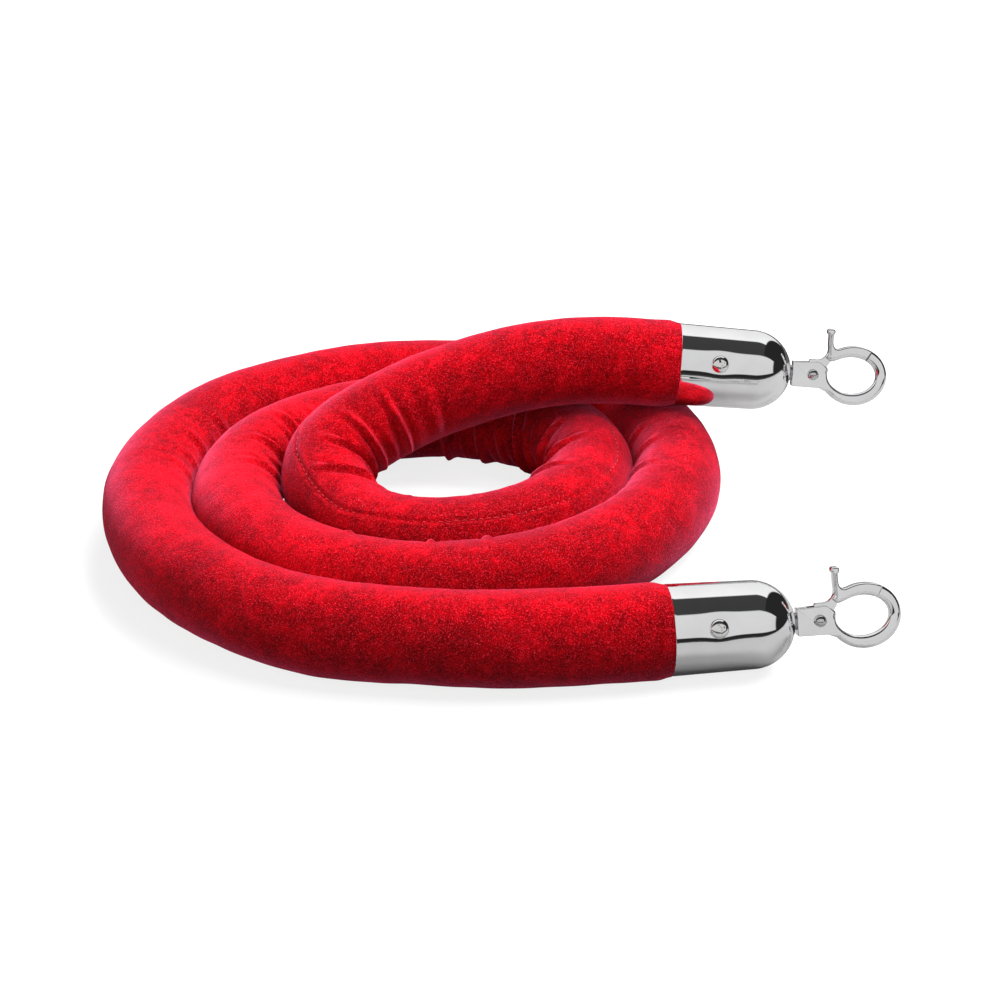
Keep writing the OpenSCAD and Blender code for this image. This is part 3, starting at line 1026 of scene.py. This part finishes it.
def make_floor():
    """A white floor, pale to the camera, darker to the cloth, and ending early to the metal."""
    half = 4.0
    corners = [(-half, -half, 0), (half, -half, 0), (half, half, 0), (-half, half, 0)]
    floor = mesh_object("floor", corners, [(0, 1, 2, 3)])
    n = Nodes("pale_floor")
    rays = n.add("ShaderNodeLightPath").outputs
    spot = n.add("ShaderNodeSeparateXYZ", {0: n.place()}).outputs
    along = n.math("MULTIPLY", n.math("ADD", spot["Y"], 1.0), 0.5)
    edge = n.ramp(along, (0.265, 0.015), (0.285, 0.20), (0.56, 0.20), (0.58, 0.03))
    pale = n.ramp(n.noise(3, 3), (0.3, 0.19), (0.7, 0.21))
    metal_sees = n.mix(rays["Is Glossy Ray"], pale, edge)
    cloth_sees = n.mix(rays["Is Diffuse Ray"], metal_sees, (0.12, 0.12, 0.12))
    glow = n.math("MULTIPLY", rays["Is Camera Ray"], 0.8)
    n.tree.links.new(glow, n.shader.inputs["Emission Strength"])
    n.shader.inputs["Emission Color"].default_value = (1, 1, 1, 1)
    floor.data.materials.append(n.set(Base_Color=cloth_sees, Roughness=0.9))
    n.shader.inputs["Specular IOR Level"].default_value = 0.1


def area_light(name, at, aim, size, watts):
    data = bpy.data.lights.new(name, "AREA")
    data.shape = "RECTANGLE"
    data.size, data.size_y = size
    data.energy = watts
    light = bpy.data.objects.new(name, data)
    light.location = at
    light.rotation_euler = (Vector(aim) - Vector(at)).to_track_quat("-Z", "Y").to_euler()
    light.visible_glossy = False
    bpy.context.scene.collection.objects.link(light)


# The studio as polished metal sees it, going over from the front: angle above the front
# horizon in degrees, and brightness. Its lights end where the direction's sideways share
# reaches STUDIO_ENDS, again by angle above the front horizon.
STUDIO_BANDS = [
    (0, 0.02), (7, 0.02), (8.5, 0.70), (66, 0.72), (69, 0.045), (113, 0.05), (116, 1.0),
    (150, 0.92), (180, 0.85),
]
STUDIO_ENDS = [(0, 0.86), (66, 0.86), (72, 0.5), (180, 0.5)]


def angle_ramp(tree, source, stops):
    """A ramp over the angle above the front horizon, from 0 to 180 degrees."""
    ramp = tree.nodes.new("ShaderNodeValToRGB")
    marks = ramp.color_ramp.elements
    while len(marks) < len(stops):
        marks.new(0.5)
    for mark, (angle, value) in zip(marks, stops):
        mark.position = angle / 180
        mark.color = (value, value, value, 1)
    tree.links.new(source.outputs[0], ramp.inputs["Fac"])
    return ramp


def make_world():
    world = bpy.data.worlds.new("studio")
    bpy.context.scene.world = world
    world.use_nodes = True
    tree = world.node_tree
    back = tree.nodes["Background"]
    place = tree.nodes.new("ShaderNodeTexCoord")
    parts = tree.nodes.new("ShaderNodeSeparateXYZ")
    tree.links.new(place.outputs["Generated"], parts.inputs[0])
    front = tree.nodes.new("ShaderNodeMath")
    front.operation = "MULTIPLY"
    front.inputs[1].default_value = -1.0
    tree.links.new(parts.outputs["Y"], front.inputs[0])
    over = tree.nodes.new("ShaderNodeMath")
    over.operation = "ARCTAN2"
    tree.links.new(parts.outputs["Z"], over.inputs[0])
    tree.links.new(front.outputs[0], over.inputs[1])
    share = tree.nodes.new("ShaderNodeMath")
    share.operation = "DIVIDE"
    share.inputs[1].default_value = math.pi
    tree.links.new(over.outputs[0], share.inputs[0])
    bands = angle_ramp(tree, share, STUDIO_BANDS)
    ends = angle_ramp(tree, share, STUDIO_ENDS)
    beyond = tree.nodes.new("ShaderNodeMath")
    beyond.operation = "SUBTRACT"
    tree.links.new(parts.outputs["X"], beyond.inputs[0])
    tree.links.new(ends.outputs["Color"], beyond.inputs[1])
    past = tree.nodes.new("ShaderNodeMath")
    past.operation = "MULTIPLY"
    past.use_clamp = True
    past.inputs[1].default_value = 30.0
    tree.links.new(beyond.outputs[0], past.inputs[0])
    studio = tree.nodes.new("ShaderNodeMix")
    studio.data_type = "RGBA"
    studio.inputs[7].default_value = (0.02, 0.02, 0.02, 1)
    tree.links.new(past.outputs[0], studio.inputs[0])
    tree.links.new(bands.outputs["Color"], studio.inputs[6])
    path = tree.nodes.new("ShaderNodeLightPath")
    plain = tree.nodes.new("ShaderNodeMix")
    plain.data_type = "RGBA"
    tree.links.new(path.outputs["Is Camera Ray"], plain.inputs[0])
    plain.inputs[6].default_value = (0.16, 0.16, 0.16, 1)
    plain.inputs[7].default_value = (1, 1, 1, 1)
    seen = tree.nodes.new("ShaderNodeMix")
    seen.data_type = "RGBA"
    tree.links.new(path.outputs["Is Glossy Ray"], seen.inputs[0])
    tree.links.new(plain.outputs[2], seen.inputs[6])
    tree.links.new(studio.outputs[2], seen.inputs[7])
    tree.links.new(seen.outputs[2], back.inputs["Color"])


def make_lights():
    centre = (-0.11, 0.02, 0.03)
    area_light("back_softbox", (0.3, 1.1, 1.3), centre, (1.1, 0.7), 63)
    area_light("right_softbox", (0.45, -0.05, 1.0), centre, (0.7, 0.7), 20)
    area_light("front_softbox", (-0.1, -1.4, 0.8), centre, (1.6, 0.9), 7)
    area_light("left_fill", (-1.4, -0.3, 0.5), centre, (0.8, 0.6), 5)


# ---------------------------------------------------------------- putting it together

def dress(piece, material, body, slot, *nodes):
    """Gives a piece its material and body, and hides the CAD nodes it stands for. slot is not used."""
    piece.data.materials.clear()
    piece.data.materials.append(material)
    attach(piece, body)
    if nodes:
        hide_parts(*nodes)


def rope_map(sleeve):
    """A map of the sleeve: metres along the rope, and turns round it."""
    stations = sleeve_stations()
    layer = sleeve.data.uv_layers.new(name="rope")
    values = np.zeros((len(sleeve.data.loops), 2))
    for face in sleeve.data.polygons:
        wraps = {v % AROUND for v in face.vertices} == {0, AROUND - 1}
        for loop in face.loop_indices:
            v = sleeve.data.loops[loop].vertex_index
            turn = (v % AROUND) / AROUND
            values[loop] = stations[v // AROUND], 1.0 if wraps and turn == 0 else turn
    layer.data.foreach_set("uv", values.ravel())


def make_rope():
    sleeve = make_sleeve()
    rope_map(sleeve)
    stitches = make_stitches()
    core = make_core()
    dress(sleeve, velvet(), "rope", "velvet", "velvet_sleeve")
    dress(stitches, thread(), "rope", "velvet")
    dress(core, foam(), "rope", "core_foam", "foam_core")


def make_fittings():
    cap_chrome = plated("cap_chrome", (0.93, 0.93, 0.94), 0.03)
    hook_chrome = plated("hook_chrome", (0.90, 0.90, 0.91), 0.035, 0.03, 0.03)
    gate_chrome = plated("gate_chrome", (0.90, 0.90, 0.91), 0.04, 0.03, 0.03)
    screw_nickel = plated("screw_nickel", (0.88, 0.87, 0.86), 0.09, 0.08)
    rivet_polish = plated("rivet_polish", (0.62, 0.62, 0.63), 0.04, 0.03)
    hidden = {
        "cap_plug": wood(),
        "stud_washer": brushed("washer_steel", (0.62, 0.63, 0.65), 0.32),
        "swivel_collar": brushed("collar_steel", (0.42, 0.42, 0.44), 0.28),
        "swivel_stud": brushed("stud_steel", (0.58, 0.58, 0.60), 0.30),
        "gate_spring": brushed("spring_steel", (0.45, 0.45, 0.47), 0.30),
    }
    for end in ENDS:
        dress(make_cap(end), cap_chrome, "rope", "cap_chrome", f"end_cap_{end}")
        dress(make_screws(end), screw_nickel, "rope", "screw_steel", f"cap_screws_{end}")
        dress(make_hook(end), hook_chrome, f"hook_{end}", "hook_chrome", f"hook_body_{end}")
        dress(make_rivet(end), rivet_polish, f"hook_{end}", "rivet_steel", f"gate_rivet_{end}")
        dress(make_gate(end), gate_chrome, f"gate_{end}", "gate_chrome", f"gate_lever_{end}")
        for part, material in hidden.items():
            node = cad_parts[f"{part}_{end}"]
            node.data.materials.clear()
            node.data.materials.append(material)


make_rope()
make_fittings()
make_floor()
make_world()
make_lights()
bpy.context.scene.view_settings.view_transform = "Standard"
